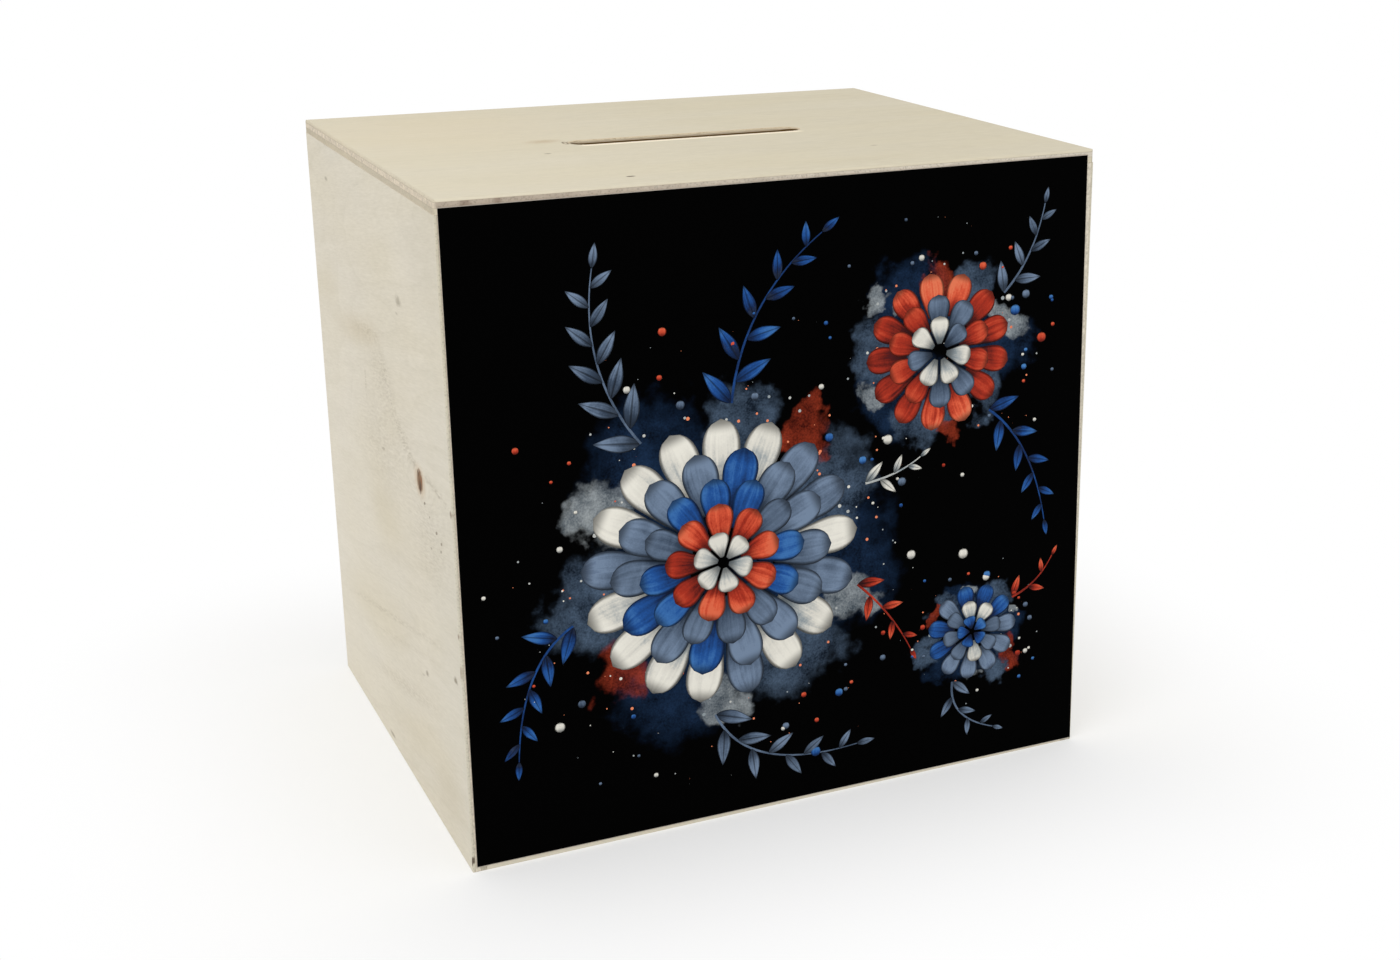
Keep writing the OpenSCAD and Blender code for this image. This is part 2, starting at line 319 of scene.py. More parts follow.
# Marks in the wood, one a line: kind, mm along the grain and across it, half length, half width, slant in
# degrees, colour, how far the wood goes towards that colour, and how soft the rim is. A fibre mark shows in
# single fibres, and a core mark in the middle ply.
marks = {
    "left_board": [
        # painted light pales the board to the back and low down, where the floor shades it; it tans to the
        # upper front corner and greys along the front
        ("face", 50.0, 22.0, 62.0, 80.0, 0, "#f3eee1", 0.28, 1.0),
        ("face", -44.0, 106.0, 22.0, 18.0, 0, "#c2bba8", 0.24, 1.0),
        ("face", -47.0, 42.0, 22.0, 66.0, 0, "#cdccc4", 0.24, 1.0),
        # ochre patches, and a growth swirl that comes down to the knot
        ("face", 14.0, 81.6, 24.0, 4.0, -8, "#bdab84", 0.26, 1.0),
        ("face", 0.0, 50.0, 16.0, 11.0, -10, "#c9bd9c", 0.24, 1.0),
        ("face", 38.0, 85.0, 14.0, 7.0, -8, "#c9bd9c", 0.18, 1.0),
        ("face", 12.0, 27.0, 36.0, 8.0, -11, "#c9bd9c", 0.18, 1.0),
        ("face", -18.0, 12.0, 28.0, 6.0, -12, "#c9bd9c", 0.2, 1.0),
        ("face", -36.0, 9.0, 15.0, 8.0, -14, "#bcae8a", 0.2, 1.0),
        ("fibre", 6.0, 83.0, 15.0, 2.0, -8, "#998b6f", 0.28, 1.0),
        ("fibre", -3.0, 77.0, 12.0, 7.0, 20, "#8d8067", 0.21, 1.0),
        ("fibre", -8.0, 77.0, 8.0, 4.0, 50, "#857860", 0.21, 1.0),
        ("fibre", -17.0, 69.5, 8.0, 2.6, 24, "#8d8067", 0.36, 1.0),
        ("fibre", -23.5, 66.9, 7.0, 1.4, 10, "#8d8067", 0.42, 1.0),
        ("fibre", -38.5, 65.9, 10.0, 1.0, 4, "#8d8069", 0.45, 1.0),
        ("fibre", -2.0, 64.0, 30.0, 14.0, -6, "#a0937b", 0.22, 1.0),
        ("fibre", -34.0, 55.0, 18.0, 12.0, -12, "#968971", 0.24, 1.0),
        ("fibre", -1.0, 29.4, 54.0, 0.9, -11.8, "#978a72", 0.33, 1.0),
        ("fibre", -4.0, 26.0, 48.0, 0.7, -12.5, "#a3967d", 0.22, 1.0),
        ("fibre", -8.0, 18.0, 38.0, 2.2, -12, "#a3967d", 0.3, 1.0),
        ("fibre", 9.7, 72.7, 0.9, 3.4, 4, "#9c8f77", 0.45, 0.9),
        # the knot: halo, body, rust-brown side and dark heart
        ("face", -28.1, 64.4, 4.2, 3.4, 0, "#c9aa84", 0.55, 0.85),
        ("face", -28.1, 64.4, 2.0, 2.25, 20, "#80634a", 0.96, 0.4),
        ("face", -28.9, 64.9, 0.9, 1.0, 30, "#946a4a", 0.8, 0.7),
        ("face", -28.2, 63.5, 0.75, 1.75, 10, "#4d3826", 0.85, 0.7),
        ("face", -27.2, 65.6, 0.7, 0.8, 0, "#5f4934", 0.7, 0.8),
        # pin knots and flecks
        ("face", -30.6, 61.2, 0.7, 0.3, -20, "#6f6250", 0.75, 0.6),
        ("face", -33.5, 59.6, 0.5, 0.25, -20, "#85775f", 0.6, 0.6),
        ("face", -37.7, 58.1, 0.9, 0.35, -20, "#7a6c57", 0.7, 0.6),
        ("face", -40.6, 57.1, 0.7, 0.35, -20, "#7a6c57", 0.65, 0.6),
        ("face", -40.0, 55.6, 0.8, 0.3, -20, "#857862", 0.55, 0.6),
        ("face", -33.4, 54.0, 0.6, 0.3, -10, "#8d8069", 0.5, 0.6),
        ("face", -1.5, 62.7, 1.7, 0.35, -12, "#8f8169", 0.45, 0.7),
        ("face", -20.7, 94.2, 2.4, 1.2, 0, "#7d725c", 0.5, 0.95),
        ("face", -19.0, 91.7, 1.1, 0.3, 0, "#8d816a", 0.35, 0.8),
        ("face", 32.2, 106.9, 1.6, 0.5, 0, "#837863", 0.5, 0.85),
        ("face", -24.4, 27.4, 1.2, 0.65, -10, "#7c6c54", 0.6, 0.8),
        ("face", -21.5, 26.0, 1.6, 0.3, -14, "#958770", 0.3, 0.9),
        ("face", -44.6, 34.2, 1.5, 0.75, -6, "#75664f", 0.68, 0.8),
        # bruises along the front and lower edges
        ("face", -47.9, 64.6, 0.8, 0.8, 0, "#7c6650", 0.7, 0.8),
        ("face", -48.1, 43.4, 0.5, 0.6, 0, "#7c6650", 0.7, 0.8),
        ("face", -48.2, 37.0, 0.5, 1.6, 0, "#8b7661", 0.55, 0.8),
        ("face", -48.35, 2.0, 0.2, 1.2, 6, "#46321f", 0.9, 0.6),
        ("face", 7.9, 1.6, 2.6, 0.5, 0, "#85765f", 0.6, 0.8),
    ],
    "top_board": [
        # painted light pales the top to the left, the side the key light falls from; a warm patch at the
        # back, a stain beside the slot and a fleck
        ("face", -64.0, -5.0, 76.0, 130.0, 0, "#f4eee1", 0.28, 1.0),
        ("face", -41.0, 22.0, 34.0, 34.0, 0, "#e6d6b8", 0.24, 1.0),
        ("face", -26.6, 1.4, 4.2, 2.6, 8, "#b89c74", 0.42, 1.0),
        ("face", -30.1, -12.5, 0.8, 0.5, 0, "#857660", 0.75, 0.7),
        # a small ring and a nick beside the slot's left end
        ("face", -23.5, -2.0, 0.6, 1.7, 0, "#6d5d49", 0.85, 0.45),
        ("face", -23.5, -2.0, 0.28, 0.9, 0, "#f0e6d2", 0.95, 0.5),
        ("face", -22.6, -1.8, 0.45, 1.2, 0, "#77664f", 0.75, 0.6),
        # flecks towards the front
        ("face", -25.1, -41.0, 0.85, 0.5, 3, "#584a39", 0.95, 0.45),
        ("face", 26.2, -28.0, 0.9, 0.4, 0, "#95866e", 0.5, 0.7),
        # edges: a paler left end, two gaps near the front left corner, and the front from grey to pale
        ("core", -60.0, 0.0, 0.6, 80.0, 0, "#dcd2c5", 0.7, 0.4),
        ("core", -55.0, -48.5, 1.1, 2.0, 0, "#86746a", 0.75, 0.7),
        ("core", -49.8, -48.5, 0.8, 2.0, 0, "#86746a", 0.75, 0.7),
        ("core", -38.0, -48.5, 30.0, 3.0, 0, "#aa9d92", 0.35, 0.9),
        ("core", 60.0, -48.5, 105.0, 3.0, 0, "#d6d0c8", 1.0, 1.0),
    ],
    "back_board": [
        # a knot, a fleck, two streaks and an ochre patch
        ("face", 22.0, 71.0, 4.4, 2.4, 8, "#c6a986", 0.5, 0.85),
        ("face", 22.0, 71.0, 1.9, 1.2, 10, "#80634a", 0.92, 0.45),
        ("face", 22.2, 70.8, 0.9, 0.6, 20, "#4d3826", 0.8, 0.7),
        ("face", -37.0, 24.0, 1.4, 0.5, -6, "#8d7a60", 0.65, 0.7),
        ("face", -8.0, 94.0, 30.0, 1.2, 4, "#b3a68a", 0.26, 1.0),
        ("face", 10.0, 44.0, 42.0, 1.6, -4, "#b3a68a", 0.22, 1.0),
        ("face", -20.0, 60.0, 30.0, 14.0, 3, "#c9bd9c", 0.25, 1.0),
    ],
    "right_board": [
        # a knot, a fleck, a streak and an ochre patch
        ("face", 12.0, 38.0, 3.6, 2.0, 12, "#c6a986", 0.45, 0.85),
        ("face", 12.0, 38.0, 1.5, 0.9, 12, "#806449", 0.88, 0.5),
        ("face", -22.0, 88.0, 1.0, 0.4, 0, "#90806a", 0.6, 0.7),
        ("face", 4.0, 62.0, 36.0, 1.4, 3, "#b3a68a", 0.26, 1.0),
        ("face", 8.0, 92.0, 26.0, 9.0, 4, "#c9bd9c", 0.25, 1.0),
    ],
}

# The coin slot: how the router left its walls, with painted shade down in the slot, its mouth painted
# paler, and a painted highlight in front of it
slotWearShadeAndHighlight = {
    "flare": 0.35,  # mm past the wall that count as the mouth
    "lip": "#e2d4be",  # fuzzy fibres in the flare and the outer ply, painted paler to offset the shade inside the mouth
    "scorchAndShade": "#705325",  # where the bit rubbed and dirt has settled, darkened further as painted shade down in the slot
    "shadeAndScorchDepth": (0.55, 0.62),  # mm below the top where the scorch and painted shade start and are full
    "endBurn": 0.12,  # how much higher the scorch and painted shade climb for each mm into a round end, where the bit dwelt
    "rubbed": "#fff6e4",  # painted highlight: a pale band along the front lip
    "rubbedWidth": (0.9, 2.1),  # mm from the mouth where the painted highlight starts to fade and ends
}


def slotOutline():
    # middle and half size of the slot, from the rim that it leaves on the underside of the top board
    low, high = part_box("top_board")
    rim = [v.co for v in cadParts["top_board"].data.vertices
           if v.co.z < low.z + hair and abs(v.co.x) < high.x / 2 and abs(v.co.y) < high.y / 2]
    first = Vector([min(c[i] for c in rim) for i in range(3)])
    last = Vector([max(c[i] for c in rim) for i in range(3)])
    return (first + last) / 2, (last - first) / 2


slotMiddle, slotHalf = slotOutline()


def boardPlace(add, node):
    # the place on a board in mm: along the grain, across it, and down from the outer face. Then the same as
    # the fibres count it, which climb over the board and part round each knot
    look = boardLooks[node]
    spot = add("SeparateXYZ", add("TexCoord", out="Object")).node.outputs
    along, side, depth = (spot[axis] for axis in look["axes"])
    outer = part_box(node)[look["outer"]]["XYZ".index(look["axes"][2])] / mm
    inward = -1 if look["outer"] else 1
    along = add("Math MULTIPLY", along, 1 / mm)
    side = add("Math MULTIPLY", side, 1 / mm)
    down = add("Math MULTIPLY_ADD", depth, inward / mm, -inward * outer)
    point = add("CombineXYZ", along, side, down)
    fibreSide = add("Math MULTIPLY_ADD", along, look["climb"], side)
    bend = [1 / reach for reach in wood["knotBend"]]
    for knotAlong, knotSide in knots.get(node, ()):
        off = add("VectorMath SUBTRACT", point, (knotAlong, knotSide, 0.0))
        off = add("VectorMath MULTIPLY", off, (*bend, 0.0))
        near = add("VectorMath DOT_PRODUCT", off, off)
        near = add("Math ADD", near, 1.0)
        push = add("Math SUBTRACT", knotSide, side)
        push = add("Math DIVIDE", push, near)
        fibreSide = add("Math ADD", fibreSide, push)
    return point, add("CombineXYZ", along, fibreSide, down), down


def woodPatterns(add, look, point, fibrePoint):
    made = {}
    for source, patterns in ((fibrePoint, grainPatterns), (point, edgePatterns)):
        for name, (along, across, seed, detail) in patterns.items():
            scaled = add("VectorMath DIVIDE", source, (along, across, across))
            made[name] = add("TexNoise 4D", {
                "Vector": scaled, "W": look["seed"] + seed, "Scale": 1.0, "Detail": detail,
                "Roughness": wood["noiseRoughness"]})
    return made


def veneerColour(add, look, pattern):
    # growth lines are contours of the figure, each fading in slowly and ending sharply
    lines = add("Math MULTIPLY", pattern["figure"], wood["growthLines"])
    lines = add("Math FRACT", lines)
    lines = add("Math POWER", lines, wood["lineEnd"])
    dark = add("Math MULTIPLY", lines, look["figure"])
    dark = addPatterns(add, dark, pattern, {**wood["weights"], "curl": look["curl"]})
    dark = add("Math ADD", dark, wood["darkness"], use_clamp=True)
    veneer = add("Mix RGBA", dark, wood["pale"], wood["tan"])
    warmth = add("MapRange", pattern["warmth"], *wood["warmthRamp"])
    return add("Mix RGBA", warmth, veneer, wood["blush"], blend_type="MULTIPLY")


def cutPlies(add, look, point, down, pattern, veneer):
    # cut across its grain, wood shows pores and looks darker. The middle ply's grain runs crosswise
    facing = add("SeparateXYZ", add("NewGeometry", out="Normal")).node.outputs
    endVeneer, endCore = (add("Math ABSOLUTE", facing[axis]) for axis in look["axes"][:2])
    cut = {name: [a * b for a, b in zip(linear(wood[name]), linear(look["cut"]))]
           for name in ("endVeneer", "endInner", "endSeam", "endCore", "sideCore")}
    pores = add("TexVoronoi", {"Vector": point, "Scale": 1 / wood["pore"]})
    pores = add("MapRange", pores, *wood["poreRamp"])
    patches = add("MapRange", pattern["patch"], *wood["patchRamp"])
    endTone = add("Math MULTIPLY", pores, patches)
    sideTone = add("MapRange", pattern["thread"], *wood["threadRamp"])
    atSeam = add("MapRange", down, *wood["seam"])
    inner = add("Mix RGBA", atSeam, cut["endInner"], cut["endSeam"])
    isInner = add("Math GREATER_THAN", down, wood["core"][1])
    ends = add("Mix RGBA", isInner, cut["endVeneer"], inner)
    ends = add("VectorMath SCALE", ends, endTone)
    face = add("Mix RGBA", endVeneer, veneer, ends)
    core = add("Mix RGBA", endCore, cut["sideCore"], cut["endCore"])
    return {"face": face, "core": core}, add("Mix", endCore, sideTone, endTone)


def addMarks(add, node, point, pattern, plies):
    # knots, flecks and stains are soft ellipses with a ragged rim
    ragged = add("Math SUBTRACT", pattern["ragged"], 0.5)
    dashes = add("MapRange", pattern["dash"], *wood["dashRamp"])
    full, end = wood["markRim"]
    for kind, along, across, length, width, slant, shade, depth, soft in marks.get(node, ()):
        away = add("Mapping TEXTURE", point, (along, across, 0.0), (0.0, 0.0, math.radians(slant)),
                   (length, width, 1.0))
        away = add("VectorMath MULTIPLY", away, (1.0, 1.0, 0.0))
        away = add("VectorMath LENGTH", away)
        away = add("Math MULTIPLY_ADD", ragged, wood["raggedness"], away)
        inside = add("MapRange SMOOTHSTEP", away, full - soft, end, depth, 0.0)
        if kind == "fibre":
            inside = add("Math MULTIPLY", inside, dashes)
        ply = "core" if kind == "core" else "face"
        plies[ply] = add("Mix RGBA", inside, plies[ply], shade)


def layPlies(add, plies, down):
    # the middle ply between the other two, with a thin glue line on each side of it
    start, end = wood["core"]
    half = (end - start) / 2
    fromCore = add("Math SUBTRACT", down, (start + end) / 2)
    fromCore = add("Math ABSOLUTE", fromCore)
    inCore = add("Math LESS_THAN", fromCore, half)
    colour = add("Mix RGBA", inCore, plies["face"], plies["core"])
    onGlue = add("Math COMPARE", fromCore, half, wood["glueWidth"] / 2)
    onGlue = add("Math MULTIPLY", onGlue, wood["glueCover"])
    return add("Mix RGBA", onGlue, colour, wood["glue"])


def paintSlotWearShadeAndHighlight(add, point, colour):
    # away is the distance from the slot's centre line in mm, which is the slot's half width at the wall
    radius = slotHalf.y / mm
    straight = slotHalf.x / mm - radius
    mouth = radius + slotWearShadeAndHighlight["flare"]
    spot = add("SeparateXYZ", point).node.outputs
    past = add("Math SUBTRACT", spot["X"], slotMiddle.x / mm)
    past = add("Math ABSOLUTE", past)
    past = add("Math SUBTRACT", past, straight)
    past = add("Math MAXIMUM", past, 0.0)
    beside = add("Math SUBTRACT", spot["Y"], slotMiddle.y / mm)
    away = add("VectorMath LENGTH", add("CombineXYZ", past, beside))

    # the painted highlight lies in front of the slot
    inFront = add("Math ADD", beside, past)
    inFront = add("MapRange", inFront, -radius, -radius / 2, 1.0, 0.0)
    fade, end = slotWearShadeAndHighlight["rubbedWidth"]
    # painted highlight, fading out away from the mouth
    rubbed = add("MapRange SMOOTHSTEP", away, mouth + fade, mouth + end, inFront, 0.0)
    colour = add("Mix RGBA", rubbed, colour, slotWearShadeAndHighlight["rubbed"])

    # the walls are fuzzy and painted paler above, and scorched and darkened with painted shade below
    inside = add("Math LESS_THAN", away, mouth)
    colour = add("Mix RGBA", inside, colour, slotWearShadeAndHighlight["lip"])
    # painted shade and scorch, deepening down the wall
    burntAndShaded = add("Math MULTIPLY_ADD", past, slotWearShadeAndHighlight["endBurn"], spot["Z"])
    burntAndShaded = add("MapRange SMOOTHSTEP", burntAndShaded, *slotWearShadeAndHighlight["shadeAndScorchDepth"])
    burntAndShaded = add("Math MULTIPLY", burntAndShaded, inside)
    return add("Mix RGBA", burntAndShaded, colour, slotWearShadeAndHighlight["scorchAndShade"])


def plywood(node):
    look = boardLooks[node]
    made, add, shader = newMaterial("sanded poplar plywood, " + node.replace("_", " "))
    point, fibrePoint, down = boardPlace(add, node)
    pattern = woodPatterns(add, look, point, fibrePoint)
    plies, coreTone = cutPlies(add, look, point, down, pattern, veneerColour(add, look, pattern))
    addMarks(add, node, point, pattern, plies)
    plies["core"] = add("VectorMath SCALE", plies["core"], coreTone)
    colour = layPlies(add, plies, down)
    if node == "top_board":
        colour = paintSlotWearShadeAndHighlight(add, point, colour)
    colour = add("Mix RGBA", 1.0, colour, look["tint"], blend_type="MULTIPLY")
    relief = {"Height": pattern["fibre"], "Distance": wood["fibreRelief"] * mm, "Strength": 1.0}
    feed(shader, {"Base Color": colour, "Normal": add("Bump", relief), "Roughness": wood["roughness"],
                  "IOR": wood["ior"], "Specular IOR Level": wood["specular"]})
    return made


for node in boardLooks:
    dress(node, plywood(node))
print("plywood on", len(boardLooks), "boards")


# Printed film: matt PVC, digitally printed solid black with watercolour washes, and cut from white stock.
# To the eye it is a deep dead black, with cloudy thin colour behind the flowers and a pale hair at the cut.

filmLook = {
    "ground": "#010101",
    "stock": "#b3aa9e",
    "trim": (0.1, 0.03, 0.1, 0.03),  # mm of unprinted stock along the bottom, right, top and left edges
    "creep": {"swirl": 9.0, "eddy": 2.4},  # mm, how far each pattern pulls a wash out of round
    "grainWeight": 0.4,
    "poolRamp": (0.5, 0.95, 0.0, 1.0),
    "washEdge": (0.55, 1.0),  # share of its size where a wash starts to fade and where it ends
    "washRim": (0.82, 0.05, 0.12),  # place and half width of its brighter rim, as such shares, and the gain
    "spray": 1.9,  # mm between the fine specks
    "sprayRamp": (1.0, 2.0, 0.2, -0.04),  # biggest radius, as a share of that, at one and two flower radii
    "noiseRoughness": 0.58,
    "roughness": 0.6,
    "specular": 0.01,
}

# Patterns in the washes: size in mm, a number that sets each apart, and how finely it breaks up
filmPatterns = {
    "swirl": (11.0, 1.0, 3.0),
    "eddy": (2.2, 2.0, 3.0),
    "grain": (0.35, 9.0, 1.0),  # pigment grains
    "pool": (5.0, 5.0, 5.0),  # where pigment gathers
}

# Three painted flowers on the film: middle and radius in mm, and how far each is turned in degrees
flowers = [
    {"name": "large", "middle": (-13.0, 49.0), "radius": 26.0, "turn": 0},
    {"name": "medium", "middle": (29.0, 82.0), "radius": 14.5, "turn": 130},
    {"name": "small", "middle": (37.0, 27.0), "radius": 9.5, "turn": 250},
]

washTones = {
    "navy": ("#070d18", "#1f3553"),
    "slate": ("#18222f", "#5b6f87"),
    "mist": ("#47525c", "#b4bbbd"),
    "ember": ("#3a100c", "#a83f27"),
}

# Pools of wash round each flower, from the back to the front: direction in degrees, distance and size in
# flower radii, tone, and how much they cover
washes = [
    (95, 0.7, 0.66, "navy", 0.85),
    (205, 0.75, 0.6, "navy", 0.85),
    (325, 0.78, 0.58, "navy", 0.85),
    (62, 0.86, 0.4, "slate", 0.8),
    (146, 0.84, 0.44, "slate", 0.8),
    (262, 0.86, 0.42, "slate", 0.8),
    (8, 0.92, 0.3, "slate", 0.75),
    (228, 0.96, 0.27, "ember", 0.85),
    (40, 1.02, 0.17, "ember", 0.8),
    (112, 0.98, 0.2, "mist", 0.75),
    (180, 0.99, 0.17, "mist", 0.7),
    (300, 0.97, 0.22, "mist", 0.75),
]

# Tones of the ink, by a number from 0 to 1 that each painted shape carries
inkTones = [
    (0.0, "#8d979c"), (0.1, "#d9d6cc"), (0.2, "#ece9de"),
    (0.28, "#2c3a4d"), (0.4, "#7487a0"),
    (0.48, "#0d2148"), (0.54, "#1d4f94"), (0.62, "#4d86c2"),
    (0.7, "#4e1210"), (0.76, "#a8301d"), (0.82, "#d8583a"), (0.9, "#e98a63"),
]

filmLow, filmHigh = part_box("front_film")


def flat(x, z):
    # a place or a direction in the plane of the film
    return Vector((x, 0.0, z))


def inkRamp(add, tone):
    made = add("ValToRGB", tone)
    stops = made.node.color_ramp.elements
    while len(stops) < len(inkTones):
        stops.new(1.0)
    for stop, (where, shade) in zip(stops, inkTones):
        stop.position = where
        stop.color = linear(shade)
    return made


def filmCorners():
    # the four corners of the film's face in mm, anticlockwise from the lower left
    centre = (filmLow + filmHigh) / 2
    face = [v.co / mm for v in cadParts["front_film"].data.vertices if v.co.y < centre.y]
    spots = {(round(c.x, 2), round(c.z, 2)) for c in face}
    spots = sorted(spots, key=lambda spot: math.atan2(spot[1] - centre.z / mm, spot[0] - centre.x / mm))
    return [flat(*spot) for spot in spots]


def paintWashes(add, place):
    noise = {}
    for name, (size, seed, detail) in filmPatterns.items():
        noise[name] = add("TexNoise 4D", {
            "Vector": place, "W": seed, "Scale": 1 / size, "Detail": detail,
            "Roughness": filmLook["noiseRoughness"]}).node.outputs
    # wet colour creeps, so the washes are drawn on a swirled copy of the plane
    swirled = place
    for name, reach in filmLook["creep"].items():
        pull = add("VectorMath SUBTRACT", noise[name]["Color"], (0.5, 0.5, 0.5))
        pull = add("VectorMath MULTIPLY", pull, flat(2 * reach, 2 * reach))
        swirled = add("VectorMath ADD", swirled, pull)
    pool = add("Math MULTIPLY_ADD", noise["grain"]["Fac"], filmLook["grainWeight"], noise["pool"]["Fac"])
    pool = add("MapRange", pool, *filmLook["poolRamp"])
    rimPlace, rimHalf, rimGain = filmLook["washRim"]
    colour = filmLook["ground"]
    for flower in flowers:
        for direction, distance, size, tone, cover in washes:
            way = math.radians(direction + flower["turn"])
            offset = distance * flower["radius"] * flat(math.sin(way), math.cos(way))
            away = add("VectorMath DISTANCE", swirled, flat(*flower["middle"]) + offset)
            away = add("Math DIVIDE", away, size * flower["radius"])
            wet = add("MapRange SMOOTHSTEP", away, *filmLook["washEdge"], cover, 0.0)
            # a drying wash carries its pigment out to a thin brighter rim
            rim = add("Math COMPARE", away, rimPlace, rimHalf)
            thick = add("Math MULTIPLY_ADD", rim, rimGain, pool, use_clamp=True)
            paint = add("Mix RGBA", thick, *washTones[tone])
            colour = add("Mix RGBA", wet, colour, paint)
    return colour


def spraySpecks(add, place, colour):
    # fine specks, thickest near a flower
    cells = add("TexVoronoi", {"Vector": place, "Scale": 1 / filmLook["spray"]})
    chance = add("SeparateColor", cells.node.outputs["Color"]).node.outputs
    distances = []
    for flower in flowers:
        away = add("VectorMath DISTANCE", place, flat(*flower["middle"]))
        distances.append(add("Math DIVIDE", away, flower["radius"]))
    nearest, *others = distances
    for away in others:
        nearest = add("Math MINIMUM", nearest, away)
    radius = add("MapRange", nearest, *filmLook["sprayRamp"])
    radius = add("Math MULTIPLY", radius, chance[0])
    speck = add("Math LESS_THAN", cells, radius)
    return add("Mix RGBA", speck, colour, inkRamp(add, chance[1]))


def bareEdges(add, place, colour):
    # unprinted stock along the four edges, which were cut a little askew
    corners = filmCorners()
    for start, end, trim in zip(corners, corners[1:] + corners[:1], filmLook["trim"]):
        inward = (end - start).normalized().cross((0.0, 1.0, 0.0))
        depth = add("VectorMath DOT_PRODUCT", place, inward)
        bare = add("Math LESS_THAN", depth, start.dot(inward) + trim)
        colour = add("Mix RGBA", bare, colour, filmLook["stock"])
    return colour


def printedFilm():
    made, add, shader = newMaterial("printed matt PVC film")
    place = add("TexCoord", out="Object")
    place = add("VectorMath MULTIPLY", place, flat(1 / mm, 1 / mm))
    colour = paintWashes(add, place)
    colour = spraySpecks(add, place, colour)
    colour = bareEdges(add, place, colour)
    feed(shader, {"Base Color": colour, "Roughness": filmLook["roughness"],
                  "Specular IOR Level": filmLook["specular"]})
    return made


dress("front_film", printedFilm())
print("film printed with", len(washes) * len(flowers), "pools of wash")


# Painted flowers, sprigs and drops, printed over the washes in raised ink. Neighbours never quite touch,
# so the black ground shows between them as an outline.

inkBuild = {
    "lift": 0.008,  # mm, how far the rim of the lowest layer stands off the film
    "step": 0.016,  # mm, each ring of petals lies on the one outside it
    "dome": 0.008,  # mm, how far the middle of a shape stands above its rim
    "sink": 0.03,  # mm, how far the back of the ink keys into what it lies on
    "weld": 0.0005,  # mm, rim points closer than this are one
    "petalFaces": (8, 16),  # across and along one skin of a shape
    "leafFaces": (6, 12),
    "dropFaces": (4, 8),
    "seedStep": 10,  # from one flower to the next
}

petals = {
    "gap": 0.5,  # mm between neighbours
    "widest": 0.45,  # how far along a petal is widest
    "arch": (2.2, 0.62),  # how late a petal closes after that, and how bluntly
    "turn": 0.21,  # radians between one ring and the next
    "seed": 7,
}

# Each ring: share of the flower's radius where it starts and ends, petal count, ink tones at base and tip,
# the tones that some petals have instead, and the share of those
petalRings = {
    "large": [
        (0.5, 1.0, 17, (0.0, 0.18), (0.3, 0.42), 0.3),
        (0.36, 0.8, 14, (0.29, 0.4), (0.48, 0.58), 0.35),
        (0.24, 0.6, 12, (0.48, 0.58), (0.29, 0.38), 0.3),
        (0.13, 0.42, 9, (0.7, 0.84), (0.7, 0.78), 0.4),
        (0.04, 0.22, 6, (0.0, 0.12), (0.7, 0.76), 0.2),
    ],
    "medium": [
        (0.45, 1.0, 13, (0.71, 0.86), (0.7, 0.79), 0.4),
        (0.28, 0.72, 10, (0.7, 0.8), (0.29, 0.38), 0.3),
        (0.1, 0.45, 7, (0.0, 0.15), (0.29, 0.38), 0.3),
    ],
    "small": [
        (0.4, 1.0, 11, (0.3, 0.42), (0.48, 0.58), 0.4),
        (0.2, 0.66, 8, (0.29, 0.36), (0.0, 0.15), 0.45),
        (0.06, 0.34, 5, (0.48, 0.58), (0.48, 0.54), 0.4),
    ],
}


def newTree(name, inputs):
    # a tree with its inputs, listed by kind, the function that adds a node to it, and the inputs' sockets
    tree = bpy.data.node_groups.new(name, "GeometryNodeTree")
    for kind, labels in inputs.items():
        for label in labels:
            tree.interface.new_socket(name=label, in_out="INPUT", socket_type="NodeSocket" + kind)
    tree.interface.new_socket(name="Geometry", in_out="OUTPUT", socket_type="NodeSocketGeometry")
    add = partial(addNode, tree)
    return tree, add, add("GroupInput").node.outputs


def finishTree(add, shape, material):
    shape = add("RealizeInstances", shape)
    shape = add("SetShadeSmooth", {"Geometry": shape, "Shade Smooth": True})
    shape = add("SetMaterial", {"Geometry": shape, "Material": material})
    add("GroupOutput", shape)


def grow(name, tree, values, path=None):
    # runs a tree with these inputs, on a closed path if there is one, and keeps the result as a plain mesh
    mesh = bpy.data.meshes.new(name)
    if path:
        mesh.from_pydata(path, [(i, (i + 1) % len(path)) for i in range(len(path))], [])
    carrier = bpy.data.objects.new(name, mesh)
    scene.collection.objects.link(carrier)
    maker = carrier.modifiers.new(tree.name, "NODES")
    maker.node_group = tree
    for item in tree.interface.items_tree:
        if item.in_out == "INPUT" and item.name in values:
            maker[item.identifier] = values[item.name]
    seen = carrier.evaluated_get(bpy.context.evaluated_depsgraph_get())
    carrier.data = bpy.data.meshes.new_from_object(seen)
    carrier.modifiers.remove(maker)
    return carrier


def joinPieces(name, pieces):
    with bpy.context.temp_override(active_object=pieces[0], selected_editable_objects=pieces):
        bpy.ops.object.join()
    pieces[0].name = name
    pieces[0].data.name = name
    return pieces[0]


def store(add, shape, domain, traits):
    for name, value in traits.items():
        shape = add("StoreNamedAttribute", {"Geometry": shape, "Name": name, "Value": value}, domain=domain)
    return shape


def luck(add, given, number, low, high):
    # a random value from low to high for each point, with draws of its own for each number
    pick = add("RandomValue", {"Seed": add("Math ADD", given["Seed"], number)})
    return add("MapRange", pick, 0.0, 1.0, low, high)


def turnedBy(add, angle):
    # rotation in the plane of the film, clockwise from straight up
    return add("EulerToRotation", add("CombineXYZ", {"Y": angle}))


